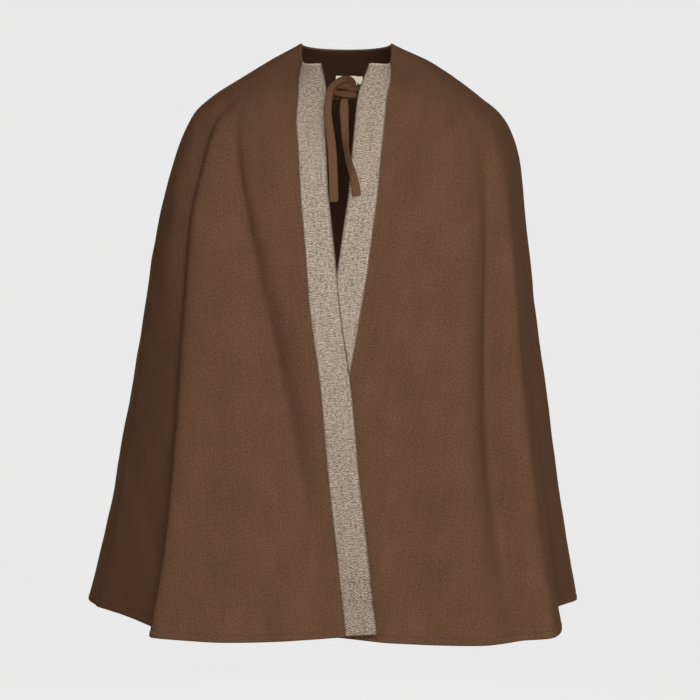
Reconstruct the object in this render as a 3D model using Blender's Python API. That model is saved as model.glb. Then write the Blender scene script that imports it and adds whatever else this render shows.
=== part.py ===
"""A hip-length wool cape, held in its worn shape round an empty hollow.

Three panels make the cape: a back and two fronts, sewn together along seams that run from the
neck over the shoulders and down the sides. A woven trim band lies on each front edge. Two
narrow straps are sewn under the front edges, knotted at the neck, and left hanging. The
wearer's right front laps over the left. Metres; +Z is up and -Y is the front. The origin is
the middle of the neck, level with where the cape rests on the base of the neck.
"""

import math
from collections import namedtuple

import bmesh
import bpy
import numpy as np

# The cloth.
WALL = 0.0022
BAND_WALL = 0.0012
LABEL_WALL = 0.0010
GAP = 0.0003
SEAM_GAP = 0.0004
BAND_WIDTH = 0.040

# The side seams lie a little behind the sides.
SEAM_TURN = math.radians(98)

# Heights at the middle of the front and of the back.
NECK_FRONT_Z = -0.016
NECK_BACK_Z = 0.0227
HEM_BACK_Z = -0.757
BACK_LIFT = 2.2

# Behind the neck the rings are ovals. NAPE_REACH is the share of the length that they take to
# grow as square as the rest.
NAPE_BOX = 2.0
NAPE_REACH = 0.16

# The right front laps over the left one below the neck.
LAP_START = 0.10
LAP_FULL = 0.28
LAP_MIDDLE = math.radians(-8)
LAP_HALF = math.radians(20)
LAP_REACH = math.radians(22)

# Each panel's side (-1 for the wearer's right), the height of its hem at the middle of the
# front, how far the lap moves it out, and how much shorter it is cut towards its front edge,
# with the angle of that edge at the hem and the angle that the rise takes.
Panel = namedtuple("Panel", "side hem_z lap rise rise_angle rise_reach")
RIGHT = Panel(side=-1, hem_z=-0.785, lap=0.0028, rise=0.0138, rise_angle=10, rise_reach=48)
LEFT = Panel(side=1, hem_z=-0.791, lap=-0.0028, rise=0.0185, rise_angle=-25, rise_reach=60)
BACK = Panel(side=0, hem_z=-0.793, lap=0, rise=0, rise_angle=0, rise_reach=1)
RISE_POWER = 4

# The rings that the cloth passes through, from the neck edge to the hem. Each one is a rounded
# box in plan: its half widths to the wearer's right and left, and its depths to the front and
# back. "along" is the length of cloth from the neck edge down the side, "box" is how square the
# ring is on either side, and "lift" is how late it climbs from the height of its front to that
# of its side. The last two columns are where the two front edges cross the ring.
RING_COLUMNS = ("along", "side_z", "half_right", "half_left", "front", "back",
                "box_right", "box_left", "lift", "edge_right", "edge_left")
RINGS = (
    (0.000, 0.0228, 0.0660, 0.0615, 0.083, 0.066, 3.0, 3.0, 8.0, -0.0400, 0.0310),
    (0.018, 0.0152, 0.0800, 0.0770, 0.088, 0.073, 2.5, 2.5, 6.8, -0.0350, 0.0240),
    (0.052, 0.000, 0.1080, 0.1095, 0.097, 0.086, 2.9, 2.9, 5.0, -0.0290, 0.0140),
    (0.105, -0.028, 0.1540, 0.1550, 0.110, 0.105, 2.6, 2.7, 3.6, -0.0312, 0.0090),
    (0.155, -0.056, 0.1950, 0.1925, 0.121, 0.118, 2.5, 2.6, 2.8, -0.0285, 0.0050),
    (0.180, -0.073, 0.2130, 0.2140, 0.126, 0.124, 2.7, 2.6, 2.5, -0.0275, 0.0032),
    (0.205, -0.096, 0.2250, 0.2290, 0.130, 0.129, 2.9, 2.7, 2.3, -0.0262, 0.0015),
    (0.252, -0.141, 0.2410, 0.2440, 0.137, 0.137, 3.2, 3.0, 2.2, -0.0225, -0.0035),
    (0.317, -0.203, 0.2580, 0.2515, 0.145, 0.147, 3.5, 3.3, 2.2, -0.0170, -0.0105),
    (0.382, -0.267, 0.2710, 0.2580, 0.151, 0.157, 3.6, 3.6, 2.6, -0.0125, -0.0205),
    (0.510, -0.393, 0.2935, 0.2720, 0.163, 0.176, 3.5, 3.8, 3.6, 0.0020, -0.0400),
    (0.638, -0.519, 0.3170, 0.2895, 0.177, 0.198, 3.5, 3.8, 4.8, 0.0135, -0.0600),
    (0.765, -0.645, 0.3420, 0.3080, 0.195, 0.221, 3.5, 3.8, 6.0, 0.0262, -0.0800),
    (0.886, -0.761, 0.3730, 0.3265, 0.218, 0.245, 3.5, 3.8, 7.5, 0.0369, -0.1000),
)
LENGTH = RINGS[-1][0]

# Flares open all the way down to the hem. "depth" is how far the cloth stands in at the hem,
# "start" is the share of the length where the flare begins, "power" is how late it deepens, the
# angles are of its middle, from the front centre towards the wearer's left, and "before" and
# "after" are the angles that it takes up at the hem towards the front and the back. At its top
# a flare takes up only the share "top_width" of those angles.
FLARE_COLUMNS = ("depth", "start", "power", "top_width", "angle_top", "angle_hem", "before", "after")
FLARES = (
    (0.034, 0.08, 0.9, 0.38, -69, -73, 22, 28),
    (0.046, 0.36, 1.2, 0.70, -66, -62, 9, 25),
    (0.041, 0.07, 0.7, 0.92, 77, 78, 23, 22),
    (0.018, 0.45, 1.5, 0.45, 24, 27, 14, 14),
    (0.004, 0.60, 1.3, 0.45, -29, -29, 9, 9),
    (0.026, 0.18, 1.3, 0.45, -114, -120, 11, 12),
    (0.036, 0.14, 1.3, 0.45, -136, -144, 13, 11),
    (0.022, 0.24, 1.3, 0.45, -160, -169, 10, 13),
    (0.034, 0.16, 1.3, 0.45, 152, 162, 12, 12),
    (0.026, 0.22, 1.3, 0.45, 130, 138, 11, 13),
    (0.020, 0.20, 1.3, 0.45, 112, 116, 9, 10),
)

# How full a flare's arch is, and how round the bottom of a crease is.
ARCH_POWER = 1.4
CLEFT_ROUND = 0.18

# Creases fade out again before the hem: "start" and "end" are shares of the length.
CREASE_COLUMNS = ("depth", "start", "end", "angle_top", "angle_end", "before", "after")
CREASES = (
    (0.0222, 0.10, 1.00, -65, -2.5, 16, 13),
    (0.0100, 0.08, 0.45, -67, -40, 8, 9),
    (0.0120, 0.08, 0.60, -69, -62, 6, 9),
    (0.0420, 0.06, 1.30, 65.5, 46.5, 15.5, 6.5),
    (0.0070, 0.08, 0.45, -122, -136, 9, 9),
    (0.0075, 0.05, 0.40, 118, 140, 9, 9),
)

# The number of steps that each panel takes across and down, and the small steps in angle and
# in length that its normals are worked out from.
FINE_STEPS = 400
TURN_STEP = 0.001
DROP_STEP = 0.0005
BAND_STEPS = 4
FRONT_STEPS = 44
BACK_STEPS = 44
YOKE_LENGTH = 0.24
YOKE_ROWS = 9
SKIRT_ROWS = 13

# The label and the size tab inside the back of the neck. They lie between two of the back's
# rows: "top" and "bottom" are shares of the way between them, and "first" and "last" are
# steps across the back, counted from the middle towards the wearer's right. "rounding" is how
# much of the way the corners of the bottom edge are drawn up.
LABEL_ROW = 1
Patch = namedtuple("Patch", "top bottom first last steps rounding")
LABEL = Patch(top=0.30, bottom=0.86, first=-2.3, last=3.2, steps=5, rounding=0)
SIZE_TAB = Patch(top=0.34, bottom=0.72, first=-3.85, last=-2.4, steps=6, rounding=0.2)

# The routes of the two tie straps: a point of the middle line, the strap's width there, its
# thickness, and how far it is rolled, in degrees. TIE_DRIFT is how much of a strap's turn
# towards the front is made up at each step, and the two powers round its section.
TIE_COLUMNS = ("x", "y", "z", "width", "thick", "roll")
TIE_RIGHT = (
    (-0.0380, -0.0877, -0.0565, 0.0110, 0.0026, 0),
    (-0.0300, -0.0893, -0.0585, 0.0105, 0.0026, 0),
    (-0.0225, -0.0930, -0.0605, 0.0092, 0.0028, 0),
    (-0.0148, -0.0975, -0.0628, 0.0082, 0.0028, 0),
    (-0.0067, -0.0985, -0.0612, 0.0080, 0.0028, 0),
    (0.0015, -0.0960, -0.0570, 0.0078, 0.0028, 0),
    (0.0062, -0.0930, -0.0519, 0.0086, 0.0028, 0),
    (0.0060, -0.0945, -0.0464, 0.0108, 0.0032, 0),
    (0.0041, -0.1005, -0.0423, 0.0108, 0.0032, 0),
    (-0.0023, -0.1070, -0.0400, 0.0102, 0.0032, 0),
    (-0.0097, -0.1105, -0.0427, 0.0094, 0.0032, 0),
    (-0.0170, -0.1130, -0.0471, 0.0090, 0.0032, 0),
    (-0.0226, -0.1145, -0.0532, 0.0092, 0.0032, 0),
    (-0.0243, -0.1152, -0.0600, 0.0100, 0.0028, 0),
    (-0.0256, -0.1145, -0.0675, 0.0100, 0.0026, 0),
    (-0.0268, -0.1160, -0.0770, 0.0100, 0.0026, 0),
    (-0.0251, -0.1255, -0.1065, 0.0114, 0.0026, 0),
    (-0.0216, -0.1320, -0.1360, 0.0122, 0.0026, 0),
    (-0.0199, -0.1370, -0.1655, 0.0122, 0.0026, 0),
    (-0.0187, -0.1425, -0.2085, 0.0126, 0.0026, 0),
)
TIE_LEFT = (
    (0.0250, -0.0878, -0.0512, 0.0092, 0.0026, 0),
    (0.0178, -0.0873, -0.0508, 0.0088, 0.0026, 0),
    (0.0128, -0.0950, -0.0517, 0.0080, 0.0028, 0),
    (0.0080, -0.1022, -0.0528, 0.0086, 0.0030, 0),
    (0.0020, -0.1058, -0.0517, 0.0094, 0.0032, 0),
    (-0.0067, -0.1038, -0.0494, 0.0100, 0.0032, 0),
    (-0.0142, -0.1048, -0.0492, 0.0084, 0.0032, 0),
    (-0.0196, -0.1062, -0.0536, 0.0072, 0.0030, 0),
    (-0.0162, -0.1085, -0.0590, 0.0078, 0.0030, 0),
    (-0.0081, -0.1110, -0.0606, 0.0092, 0.0030, 0),
    (0.0013, -0.1124, -0.0616, 0.0092, 0.0030, 0),
    (0.0076, -0.1116, -0.0620, 0.0084, 0.0030, 0),
    (0.0104, -0.1090, -0.0622, 0.0076, 0.0028, 0),
    (0.0078, -0.1064, -0.0624, 0.0076, 0.0028, 0),
    (0.0020, -0.1052, -0.0632, 0.0080, 0.0026, 0),
    (-0.0030, -0.1054, -0.0658, 0.0086, 0.0026, 0),
    (-0.0050, -0.1065, -0.0730, 0.0112, 0.0026, 0),
    (-0.0049, -0.1120, -0.0935, 0.0116, 0.0026, 8),
    (-0.0035, -0.1190, -0.1203, 0.0116, 0.0026, 32),
    (-0.0022, -0.1245, -0.1360, 0.0116, 0.0026, 52),
    (0.0004, -0.1290, -0.1501, 0.0116, 0.0026, 50),
    (0.0047, -0.1330, -0.1652, 0.0116, 0.0026, 38),
    (0.0087, -0.1360, -0.1801, 0.0116, 0.0026, 18),
    (0.0120, -0.1392, -0.2000, 0.0118, 0.0026, 0),
)
TIE_STEP = 0.0040
TIE_SIDES = 8
TIE_DRIFT = 0.4
TIE_SIDE_POWER = 0.5
TIE_FACE_POWER = 0.8

WOOL = (0.133, 0.071, 0.040, 1.0)
TRIM = (0.371, 0.296, 0.230, 1.0)
TIE_WOOL = (0.136, 0.075, 0.043, 1.0)
LABEL_WHITE = (0.78, 0.74, 0.66, 1.0)
SHARP_ANGLE = math.radians(50)


def table(columns, rows):
    """A table's columns by name, as arrays."""
    return dict(zip(columns, np.array(rows, float).T))


def smooth_through(at, x, y):
    """A smooth curve through the points x, y that doesn't overshoot them, read at a place."""
    step = np.diff(x)
    slope = np.diff(y) / step
    turn = slope[1:] * slope[:-1]
    total = np.where(turn > 0, slope[1:] + slope[:-1], 1.0)
    inner = np.where(turn > 0, 2 * turn / total, 0.0)
    lean = np.concatenate([slope[:1], inner, slope[-1:]])
    i = np.clip(np.searchsorted(x, at) - 1, 0, len(step) - 1)
    t = (at - x[i]) / step[i]
    start = y[i] * (1 + 2 * t) * (1 - t) ** 2 + y[i + 1] * (3 - 2 * t) * t ** 2
    return start + step[i] * t * (1 - t) * (lean[i] * (1 - t) - lean[i + 1] * t)


def ease(t):
    """0 below 0, 1 above 1, and smooth between."""
    t = np.clip(t, 0, 1)
    return t * t * (3 - 2 * t)


def hump(t):
    """1 at the middle, and smoothly down to 0 at -1 and at 1."""
    return (1 + np.cos(math.pi * np.clip(t, -1, 1))) / 2


def arch(t):
    """1 at the middle, and down to 0 at -1 and at 1: wide, with ends that turn quickly."""
    return (1 - np.clip(t, -1, 1) ** 2) ** ARCH_POWER


def cleft(t):
    """1 at the middle, and down to 0 at -1 and at 1: steep by the middle, and soft at the ends."""
    away = np.hypot(np.clip(t, -1, 1), CLEFT_ROUND) - CLEFT_ROUND
    return (1 - away / (math.hypot(1, CLEFT_ROUND) - CLEFT_ROUND)) ** 2


def ring_at(along):
    """The ring table's values at a length of cloth from the neck edge."""
    rings = table(RING_COLUMNS, RINGS)
    return {name: smooth_through(along, rings["along"], rings[name]) for name in RING_COLUMNS}


def across(angle, middle, before, after, profile):
    """A fold's profile: "before" is its half width towards the front, "after" to the back."""
    away = (angle - middle) * np.where(middle < 0, -1, 1)
    return profile(away / np.where(away < 0, before, after))


def fold_depth(angle, share):
    """How far the folds move the cloth inwards."""
    depth = np.zeros(np.broadcast(angle, share).shape)
    for row in FLARES:
        fold = dict(zip(FLARE_COLUMNS, row))
        t = np.clip((share - fold["start"]) / (1 - fold["start"]), 0, None)
        middle = np.radians(fold["angle_top"] + (fold["angle_hem"] - fold["angle_top"]) * t)
        narrow = fold["top_width"] + (1 - fold["top_width"]) * np.clip(t, 0, 1)
        before = math.radians(fold["before"]) * narrow
        after = math.radians(fold["after"]) * narrow
        depth += fold["depth"] * t ** fold["power"] * across(angle, middle, before, after, arch)
    for row in CREASES:
        fold = dict(zip(CREASE_COLUMNS, row))
        t = (share - fold["start"]) / (fold["end"] - fold["start"])
        middle = np.radians(fold["angle_top"] + (fold["angle_end"] - fold["angle_top"]) * t)
        before = math.radians(fold["before"])
        after = math.radians(fold["after"])
        depth += fold["depth"] * hump(2 * t - 1) * across(angle, middle, before, after, cleft)
    return depth


def cape_surface(angle, along, panel):
    """Points of the outer face. Angles run from the front centre towards the wearer's left."""
    near_edge = hump((angle - math.radians(panel.rise_angle)) / math.radians(panel.rise_reach))
    along = along - panel.rise * (along / LENGTH) ** RISE_POWER * near_edge
    ring = ring_at(along)
    share = along / LENGTH
    sine = np.sin(angle)
    cosine = np.cos(angle)
    half = np.where(sine < 0, ring["half_right"], ring["half_left"])
    depth = np.where(cosine > 0, ring["front"], ring["back"])
    box = np.where(sine < 0, ring["box_right"], ring["box_left"])
    box = np.where(cosine > 0, box, NAPE_BOX + (box - NAPE_BOX) * ease(share / NAPE_REACH))
    radius = ((np.abs(sine) / half) ** box + (np.abs(cosine) / depth) ** box) ** (-1 / box)
    lapped = ease((share - LAP_START) / (LAP_FULL - LAP_START))
    aside = ease((np.abs(angle - LAP_MIDDLE) - LAP_HALF) / LAP_REACH)
    radius = radius - fold_depth(angle, share) + panel.lap * lapped * (1 - aside)
    front_z = NECK_FRONT_Z + (panel.hem_z - NECK_FRONT_Z) * share
    back_z = NECK_BACK_Z + (HEM_BACK_Z - NECK_BACK_Z) * share
    low = np.where(cosine > 0, front_z, back_z)
    power = np.where(cosine > 0, ring["lift"], BACK_LIFT)
    height = low + (ring["side_z"] - low) * np.abs(sine) ** power
    return np.stack([radius * sine, -radius * cosine, height], axis=-1)


def cape_normal(angle, along, panel):
    """The outward normals of the outer face."""
    left = cape_surface(angle + TURN_STEP, along, panel)
    right = cape_surface(angle - TURN_STEP, along, panel)
    lower = cape_surface(angle, along + DROP_STEP, panel)
    upper = cape_surface(angle, along - DROP_STEP, panel)
    normal = np.cross(lower - upper, left - right)
    return normal / np.linalg.norm(normal, axis=-1, keepdims=True)


def row_places():
    """The lengths of cloth at the rows of points: close together over the shoulders."""
    yoke = np.linspace(0, YOKE_LENGTH, YOKE_ROWS)
    skirt = np.linspace(YOKE_LENGTH, LENGTH, SKIRT_ROWS + 1)[1:]
    return np.concatenate([yoke, skirt])


def seam_angle(along, side, behind):
    """The angle of a side seam's edge, half a gap before the seam's line or behind it."""
    ring = ring_at(along)
    half = ring["half_right"] if side < 0 else ring["half_left"]
    return side * (SEAM_TURN + behind * SEAM_GAP / 2 / half)


def front_angles(along, panel):
    """The angles of a front's points at one row, from its front edge to its side seam."""
    ring = ring_at(along)
    edge_x = ring["edge_right"] if panel.side < 0 else ring["edge_left"]
    edge = math.atan2(edge_x, ring["front"])
    seam = seam_angle(along, panel.side, -1)
    fine = np.linspace(edge, seam, FINE_STEPS)
    points = cape_surface(fine, np.full(fine.shape, along), panel)
    steps = np.linalg.norm(np.diff(points, axis=0), axis=1)
    walked = np.concatenate([[0], np.cumsum(steps)])
    band_edge = np.interp(BAND_WIDTH, walked, fine)
    band = np.linspace(edge, band_edge, BAND_STEPS + 1)
    rest = np.linspace(band_edge, seam, FRONT_STEPS + 1)[1:]
    return np.concatenate([band, rest])


def back_angles(along):
    """The angles of the back's points at one row, from the left seam round to the right one."""
    left = seam_angle(along, 1, 1)
    right = 2 * math.pi + seam_angle(along, -1, 1)
    return np.linspace(left, right, BACK_STEPS + 1)


def front_grid(panel):
    """A front's points and normals, a row for each height."""
    rows = row_places()
    angles = np.array([front_angles(along, panel) for along in rows])
    places = np.repeat(rows[:, None], angles.shape[1], axis=1)
    return cape_surface(angles, places, panel), cape_normal(angles, places, panel)


def back_grid():
    """The back's points and normals, a row for each height."""
    rows = row_places()
    turned = np.array([back_angles(along) for along in rows])
    angles = np.where(turned > math.pi, turned - 2 * math.pi, turned)
    places = np.repeat(rows[:, None], angles.shape[1], axis=1)
    return cape_surface(angles, places, BACK), cape_normal(angles, places, BACK)


def material(name, color, roughness):
    """A plain material of one colour."""
    made = bpy.data.materials.new(name)
    made.use_nodes = True
    shader = made.node_tree.nodes["Principled BSDF"]
    shader.inputs["Base Color"].default_value = color
    shader.inputs["Roughness"].default_value = roughness
    shader.inputs["Metallic"].default_value = 0.0
    return made


def add_object(name, bm, finish):
    """An object of its own for a closed mesh, with its faces pointing out."""
    bmesh.ops.recalc_face_normals(bm, faces=bm.faces)
    mesh = bpy.data.meshes.new(name)
    bm.to_mesh(mesh)
    bm.free()
    mesh.shade_smooth()
    mesh.set_sharp_from_angle(angle=SHARP_ANGLE)
    made = bpy.data.objects.new(name, mesh)
    made.data.materials.append(finish)
    bpy.context.scene.collection.objects.link(made)
    return made


def add_wall(name, outer, inner, finish):
    """A closed wall of cloth between two grids of points."""
    bm = bmesh.new()
    rows, columns = outer.shape[:2]
    faces = [[[bm.verts.new(point) for point in row] for row in grid] for grid in (outer, inner)]
    for grid in faces:
        for i in range(rows - 1):
            for j in range(columns - 1):
                corners = (grid[i][j], grid[i + 1][j], grid[i + 1][j + 1], grid[i][j + 1])
                bm.faces.new(corners)
    border = [(0, j) for j in range(columns)]
    border += [(i, columns - 1) for i in range(1, rows)]
    border += [(rows - 1, j) for j in range(columns - 2, -1, -1)]
    border += [(i, 0) for i in range(rows - 2, 0, -1)]
    front, back = faces
    for (i, j), (k, m) in zip(border, border[1:] + border[:1]):
        bm.faces.new((front[i][j], front[k][m], back[k][m], back[i][j]))
    bmesh.ops.triangulate(bm, faces=bm.faces, quad_method="FIXED")
    return add_object(name, bm, finish)


def add_panel(name, points, normals, finish):
    """A panel of wool, with its thickness inside its outer face."""
    return add_wall(name, points, points - WALL * normals, finish)


def add_band(name, points, normals, finish):
    """The trim on a front edge: the front's own points, moved out."""
    lower = points[:, :BAND_STEPS + 1] + GAP * normals[:, :BAND_STEPS + 1]
    upper = lower + BAND_WALL * normals[:, :BAND_STEPS + 1]
    return add_wall(name, upper, lower, finish)


def patch_place(grid, down, step):
    """A place on the back's faces, a share of the way below the label's row."""
    column = BACK_STEPS / 2 + step
    first = int(column)
    row = grid[LABEL_ROW] + (grid[LABEL_ROW + 1] - grid[LABEL_ROW]) * down
    return row[first] + (row[first + 1] - row[first]) * (column - first)


def add_patch(name, points, normals, patch, finish):
    """A patch inside the back of the neck, lying on the back panel."""
    steps = np.linspace(patch.first, patch.last, patch.steps + 1)
    aside = np.linspace(-1, 1, patch.steps + 1)
    bottoms = patch.bottom - patch.rounding * aside ** 4
    rows = [[patch.top + (bottom - patch.top) * share for bottom in bottoms]
            for share in (0, 0.5, 1)]
    lies_on = np.array([[patch_place(points, down, step) for down, step in zip(row, steps)]
                        for row in rows])
    facing = np.array([[patch_place(normals, down, step) for down, step in zip(row, steps)]
                       for row in rows])
    outside = lies_on - (WALL + GAP) * facing
    return add_wall(name, outside, outside - LABEL_WALL * facing, finish)


def route(rows):
    """A strap's middle line and its width, thickness and roll, at even steps."""
    columns = table(TIE_COLUMNS, rows)
    line = np.stack([columns["x"], columns["y"], columns["z"]], axis=1)
    marks = np.concatenate([[0], np.cumsum(np.linalg.norm(np.diff(line, axis=0), axis=1))])
    places = np.linspace(0, marks[-1], int(round(marks[-1] / TIE_STEP)) + 1)
    return {name: natural_curve(places, marks, columns[name]) for name in TIE_COLUMNS}


def natural_curve(at, x, y):
    """The natural cubic spline through the points x, y, read at some places."""
    step = np.diff(x)
    count = len(x)
    system = np.eye(count)
    wanted = np.zeros(count)
    for i in range(1, count - 1):
        system[i, i - 1:i + 2] = (step[i - 1], 2 * (step[i - 1] + step[i]), step[i])
        wanted[i] = 6 * ((y[i + 1] - y[i]) / step[i] - (y[i] - y[i - 1]) / step[i - 1])
    bend = np.linalg.solve(system, wanted)
    i = np.clip(np.searchsorted(x, at) - 1, 0, count - 2)
    a = (x[i + 1] - at) / step[i]
    b = (at - x[i]) / step[i]
    cubic = ((a ** 3 - a) * bend[i] + (b ** 3 - b) * bend[i + 1]) * step[i] ** 2 / 6
    return a * y[i] + b * y[i + 1] + cubic


def strap_frames(line, roll):
    """The strap's width and thickness directions along its line.

    They turn as little as possible, and drift back until the strap's flat side faces forwards.
    """
    tangents = np.gradient(line, axis=0)
    tangents /= np.linalg.norm(tangents, axis=1, keepdims=True)
    width = np.array([0.0, 0.0, 1.0])
    frames = []
    for tangent, angle in zip(tangents, np.radians(roll)):
        facing = np.cross((0.0, 1.0, 0.0), tangent)
        drift = TIE_DRIFT if facing @ width > 0 else -TIE_DRIFT
        width = width - tangent * (width @ tangent) + drift * facing
        width /= np.linalg.norm(width)
        thick = np.cross(tangent, width)
        frames.append((width * math.cos(angle) + thick * math.sin(angle),
                       thick * math.cos(angle) - width * math.sin(angle)))
    return frames


def add_strap(name, rows, finish):
    """A knotted strap: a flattened tube along its route, closed at both ends."""
    path = route(rows)
    line = np.stack([path["x"], path["y"], path["z"]], axis=1)
    turns = np.linspace(0, 2 * math.pi, TIE_SIDES, endpoint=False) + math.pi / TIE_SIDES
    side = np.sign(np.cos(turns)) * np.abs(np.cos(turns)) ** TIE_SIDE_POWER
    face = np.sign(np.sin(turns)) * np.abs(np.sin(turns)) ** TIE_FACE_POWER
    bm = bmesh.new()
    rings = []
    for i, (width, thick) in enumerate(strap_frames(line, path["roll"])):
        offsets = (np.outer(side * path["width"][i] / 2, width)
                   + np.outer(face * path["thick"][i] / 2, thick))
        rings.append([bm.verts.new(line[i] + offset) for offset in offsets])
    for ring, following in zip(rings, rings[1:]):
        for k in range(TIE_SIDES):
            m = (k + 1) % TIE_SIDES
            bm.faces.new((ring[k], ring[m], following[m], following[k]))
    bm.faces.new(rings[0])
    bm.faces.new(rings[-1])
    bmesh.ops.triangulate(bm, faces=bm.faces)
    return add_object(name, bm, finish)


def clear_scene():
    """Removes what the scene starts with."""
    for thing in list(bpy.data.objects):
        bpy.data.objects.remove(thing, do_unlink=True)


def build():
    """Makes every piece of the cape."""
    clear_scene()
    wool = material("wool", WOOL, 0.95)
    trim = material("trim", TRIM, 0.9)
    tie_wool = material("tie_wool", TIE_WOOL, 0.95)
    white = material("label_white", LABEL_WHITE, 0.8)
    right = front_grid(RIGHT)
    left = front_grid(LEFT)
    back = back_grid()
    add_panel("front_right", *right, wool)
    add_panel("front_left", *left, wool)
    add_panel("back", *back, wool)
    add_band("band_right", *right, trim)
    add_band("band_left", *left, trim)
    add_strap("tie_right", TIE_RIGHT, tie_wool)
    add_strap("tie_left", TIE_LEFT, tie_wool)
    add_patch("neck_label", *back, LABEL, white)
    add_patch("size_tab", *back, SIZE_TAB, white)


build()
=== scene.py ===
"""The looks of a worn wool cape: its cloth, trim bands, tie straps, labels and sewing.

Metres; +Z is up and -Y is the front. The cloth lies on the solids' rings, flares and creases, and
follows the photograph more closely than they do by a few millimetres.
"""

import functools
import math
from collections import namedtuple

import bpy
import numpy as np
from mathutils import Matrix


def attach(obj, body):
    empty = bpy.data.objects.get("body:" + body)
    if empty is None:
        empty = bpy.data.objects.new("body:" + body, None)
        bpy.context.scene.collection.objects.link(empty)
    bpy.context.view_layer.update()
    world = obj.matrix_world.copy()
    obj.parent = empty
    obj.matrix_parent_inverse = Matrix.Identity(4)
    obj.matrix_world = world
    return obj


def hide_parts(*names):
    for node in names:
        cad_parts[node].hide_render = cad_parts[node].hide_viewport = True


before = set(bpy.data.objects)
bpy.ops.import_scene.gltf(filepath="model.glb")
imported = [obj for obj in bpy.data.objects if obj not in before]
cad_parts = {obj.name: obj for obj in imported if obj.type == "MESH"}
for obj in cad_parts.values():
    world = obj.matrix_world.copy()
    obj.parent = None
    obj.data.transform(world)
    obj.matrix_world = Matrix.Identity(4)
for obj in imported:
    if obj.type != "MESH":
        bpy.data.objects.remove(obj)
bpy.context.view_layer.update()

# The cloth and the cape's main lines. They are the solids' values, apart from the right front's
# rise, the front edges, the stand of the lap near the hem and the soft starts of the flares.
WALL = 0.0022
BAND_WALL = 0.0012
LABEL_WALL = 0.0008
GAP = 0.0003
BAND_WIDTH = 0.040
NECK_FRONT_Z = -0.016
NECK_BACK_Z = 0.0227
HEM_BACK_Z = -0.757
BACK_LIFT = 2.2
NAPE_BOX = 2.0
NAPE_REACH = 0.16
LAP_START = 0.10
LAP_FULL = 0.28
LAP_STAND = 2.2
LAP_STAND_START = 0.55
LAP_MIDDLE = math.radians(-8)
LAP_HALF = math.radians(20)
LAP_REACH = math.radians(22)
RISE_POWER = 4
ARCH_POWER = 1.4
ARCH_SOFTER = 1.6
ARCH_FULL = 0.42
SEAM_TURN = math.radians(98)
CLEFT_ROUND = 0.18

Panel = namedtuple("Panel", "side hem_z lap rise rise_angle rise_reach")
RIGHT = Panel(side=-1, hem_z=-0.785, lap=0.0028, rise=0.0125, rise_angle=16, rise_reach=56)
LEFT = Panel(side=1, hem_z=-0.791, lap=-0.0028, rise=0.0185, rise_angle=-25, rise_reach=60)
BACK = Panel(side=0, hem_z=-0.793, lap=0, rise=0, rise_angle=0, rise_reach=1)

RING_COLUMNS = ("along", "side_z", "half_right", "half_left", "front", "back",
                "box_right", "box_left", "lift", "edge_right", "edge_left")
RINGS = (
    (0.000, 0.0228, 0.0660, 0.0615, 0.083, 0.066, 3.0, 3.0, 8.0, -0.0400, 0.0310),
    (0.018, 0.0152, 0.0800, 0.0770, 0.088, 0.073, 2.5, 2.5, 6.8, -0.0350, 0.0240),
    (0.052, 0.000, 0.1080, 0.1095, 0.097, 0.086, 2.9, 2.9, 5.0, -0.0290, 0.0140),
    (0.105, -0.028, 0.1540, 0.1550, 0.110, 0.105, 2.6, 2.7, 3.6, -0.0312, 0.0090),
    (0.155, -0.056, 0.1950, 0.1925, 0.121, 0.118, 2.5, 2.6, 2.8, -0.0285, 0.0050),
    (0.180, -0.073, 0.2130, 0.2140, 0.126, 0.124, 2.7, 2.6, 2.5, -0.0275, 0.0032),
    (0.205, -0.096, 0.2250, 0.2290, 0.130, 0.129, 2.9, 2.7, 2.3, -0.0262, 0.0015),
    (0.252, -0.141, 0.2410, 0.2440, 0.137, 0.137, 3.2, 3.0, 2.2, -0.0225, -0.0045),
    (0.317, -0.203, 0.2580, 0.2515, 0.145, 0.147, 3.5, 3.3, 2.2, -0.0167, -0.0127),
    (0.382, -0.267, 0.2710, 0.2580, 0.151, 0.157, 3.6, 3.6, 2.6, -0.0115, -0.0222),
    (0.510, -0.393, 0.2935, 0.2720, 0.163, 0.176, 3.5, 3.8, 3.6, 0.0038, -0.0420),
    (0.638, -0.519, 0.3170, 0.2895, 0.177, 0.198, 3.5, 3.8, 4.8, 0.0135, -0.0600),
    (0.765, -0.645, 0.3420, 0.3080, 0.195, 0.221, 3.5, 3.8, 6.0, 0.0253, -0.0800),
    (0.886, -0.761, 0.3730, 0.3265, 0.218, 0.245, 3.5, 3.8, 7.5, 0.0361, -0.1000),
)
LENGTH = RINGS[-1][0]

FLARE_COLUMNS = ("depth", "start", "power", "top_width", "angle_top", "angle_end", "before", "after")
FLARES = (
    (0.034, 0.08, 0.9, 0.38, -69, -73, 22, 28),
    (0.046, 0.36, 1.2, 0.70, -66, -62, 9, 25),
    (0.041, 0.07, 0.7, 0.92, 77, 78, 23, 22),
    (0.018, 0.45, 1.5, 0.45, 24, 27, 14, 14),
    (0.004, 0.60, 1.3, 0.45, -29, -29, 9, 9),
    (0.026, 0.18, 1.3, 0.45, -114, -120, 11, 12),
    (0.036, 0.14, 1.3, 0.45, -136, -144, 13, 11),
    (0.022, 0.24, 1.3, 0.45, -160, -169, 10, 13),
    (0.034, 0.16, 1.3, 0.45, 152, 162, 12, 12),
    (0.026, 0.22, 1.3, 0.45, 130, 138, 11, 13),
    (0.020, 0.20, 1.3, 0.45, 112, 116, 9, 10),
)

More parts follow.
